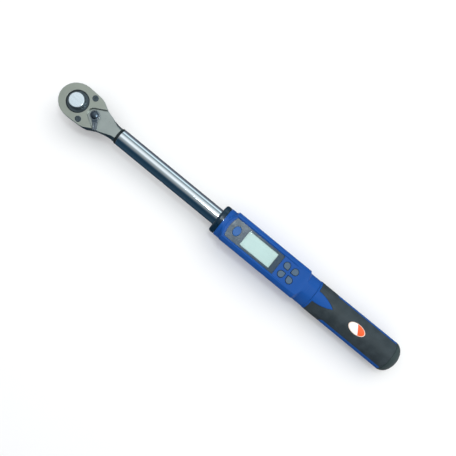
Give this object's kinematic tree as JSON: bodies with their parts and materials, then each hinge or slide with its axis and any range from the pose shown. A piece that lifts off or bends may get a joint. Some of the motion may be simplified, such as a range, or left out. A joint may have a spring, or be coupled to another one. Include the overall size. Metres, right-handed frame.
{
  "type": "digital torque wrench",
  "caption": "Digital torque wrench: reversible pear-head ratchet with a square drive, chrome tube, display housing with keys, and a rubber grip with a battery cap.",
  "frame": {"origin": "centre of the drive square's end face", "axes": "+X along the tool from the drive axis to the end cap, +Z out of the display, -Z out of the drive square"},
  "size_m": [0.5107, 0.0438, 0.0479],
  "materials": {
    "head_steel": "satin chrome over forged steel",
    "satin_chrome": "satin",
    "bright_chrome": "polished",
    "black_steel": "black oxide",
    "inner_steel": "ground",
    "black_rubber": "matt",
    "grip_rubber": "fine matt grain",
    "black_plastic": "matt",
    "housing_blue": "satin",
    "panel_grey": "satin",
    "key_grey": "matt",
    "window_clear": "clear",
    "lcd_green": "unlit reflective display",
    "board_green": "solder mask",
    "gauge_film": "foil on film",
    "badge_print": "white with an orange band",
    "contact_brass": "plated",
    "battery_jacket": "printed sleeve"
  },
  "bodies": {
    "wrench_body": {"ratchet_head": "head_steel", "cover_plate": "satin_chrome", "cover_screw_1": "black_steel", "cover_screw_2": "black_steel", "pawl_pin": "inner_steel", "main_tube": "bright_chrome", "neck_ring": "black_rubber", "tube_cross_pin": "inner_steel", "strain_gauge_1": "gauge_film", "strain_gauge_2": "gauge_film", "signal_cable": "black_plastic", "front_collar": "black_plastic", "upper_housing": "housing_blue", "lower_housing": "housing_blue", "housing_screw_1": "black_steel", "housing_screw_2": "black_steel", "housing_screw_3": "black_steel", "housing_screw_4": "black_steel", "display_panel": "panel_grey", "display_window": "window_clear", "lcd_module": "lcd_green", "circuit_board": "board_green", "main_chip": "black_plastic", "buzzer": "black_plastic", "power_switch": "black_plastic", "grip_core": "housing_blue", "grip_rubber": "grip_rubber", "badge": "badge_print", "battery_stop": "black_plastic", "front_contact": "contact_brass", "battery_1": "battery_jacket", "battery_2": "battery_jacket", "key_switch_1": "black_plastic", "key_switch_2": "black_plastic", "key_switch_3": "black_plastic", "key_switch_4": "black_plastic"},
    "drive": {"drive_gear": "black_steel", "release_spring": "inner_steel"},
    "release": {"release_button": "bright_chrome"},
    "ball": {"detent_ball": "bright_chrome"},
    "lever": {"reverse_lever": "bright_chrome", "pawl_plunger": "inner_steel", "lever_clip": "inner_steel"},
    "pawl_body": {"pawl": "inner_steel"},
    "power_key": {"power_button": "housing_blue"},
    "cap_contact": {"contact_disc": "contact_brass", "battery_spring": "inner_steel"},
    "cap": {"battery_cap": "black_plastic", "cap_seal": "black_rubber"},
    "key_body_1": {"key_1": "key_grey"},
    "key_body_2": {"key_2": "key_grey"},
    "key_body_3": {"key_3": "key_grey"},
    "key_body_4": {"key_4": "key_grey"}
  },
  "joints": [
    {"name": "drive_spin", "type": "hinge", "parent": "wrench_body", "child": "drive", "pos_m": [0, 0, 0.028], "axis": [0, 0, 1], "continuous": true},
    {"name": "release_press", "type": "slide", "parent": "drive", "child": "release", "axis": [0, 0, -1], "range_m": [0, 0.003], "stiffness_N_per_m": 800, "springref_m": -0.003, "deforming": ["release_spring"]},
    {"name": "ball_retract", "type": "slide", "parent": "drive", "child": "ball", "axis": [-1, 0, 0], "range_m": [0, 0.0012]},
    {"name": "lever_flip", "type": "hinge", "parent": "wrench_body", "child": "lever", "pos_m": [0.0261, 0, 0.037], "axis": [0, 0, 1], "range_deg": [0, 103]},
    {"name": "pawl_rock", "type": "hinge", "parent": "wrench_body", "child": "pawl_body", "pos_m": [0.0193, 0, 0.028], "axis": [0, 0, 1], "range_deg": [-7, 0]},
    {"name": "power_press", "type": "slide", "parent": "wrench_body", "child": "power_key", "axis": [0, 0, -1], "range_m": [0, 0.0008], "stiffness_N_per_m": 500, "springref_m": -0.001},
    {"name": "key_1_press", "type": "slide", "parent": "wrench_body", "child": "key_body_1", "axis": [0, 0, -1], "range_m": [0, 0.0008], "stiffness_N_per_m": 500, "springref_m": -0.001},
    {"name": "key_2_press", "type": "slide", "parent": "wrench_body", "child": "key_body_2", "axis": [0, 0, -1], "range_m": [0, 0.0008], "stiffness_N_per_m": 500, "springref_m": -0.001},
    {"name": "key_3_press", "type": "slide", "parent": "wrench_body", "child": "key_body_3", "axis": [0, 0, -1], "range_m": [0, 0.0008], "stiffness_N_per_m": 500, "springref_m": -0.001},
    {"name": "key_4_press", "type": "slide", "parent": "wrench_body", "child": "key_body_4", "axis": [0, 0, -1], "range_m": [0, 0.0008], "stiffness_N_per_m": 500, "springref_m": -0.001},
    {"name": "cap_travel", "type": "slide", "parent": "wrench_body", "child": "cap_contact", "axis": [1, 0, 0], "range_m": [0, 0.01001]},
    {"name": "cap_turn", "type": "hinge", "parent": "cap_contact", "child": "cap", "pos_m": [0.4745, 0, 0.028], "axis": [1, 0, 0], "range_deg": [0, 900]}
  ],
  "couplings": [
    {"joint": "ball_retract", "follows": "release_press", "ratio": 0.4},
    {"joint": "pawl_rock", "follows": "lever_flip", "ratio": -0.0679},
    {"joint": "cap_travel", "follows": "cap_turn", "m_per_rad": 0.00063662}
  ]
}
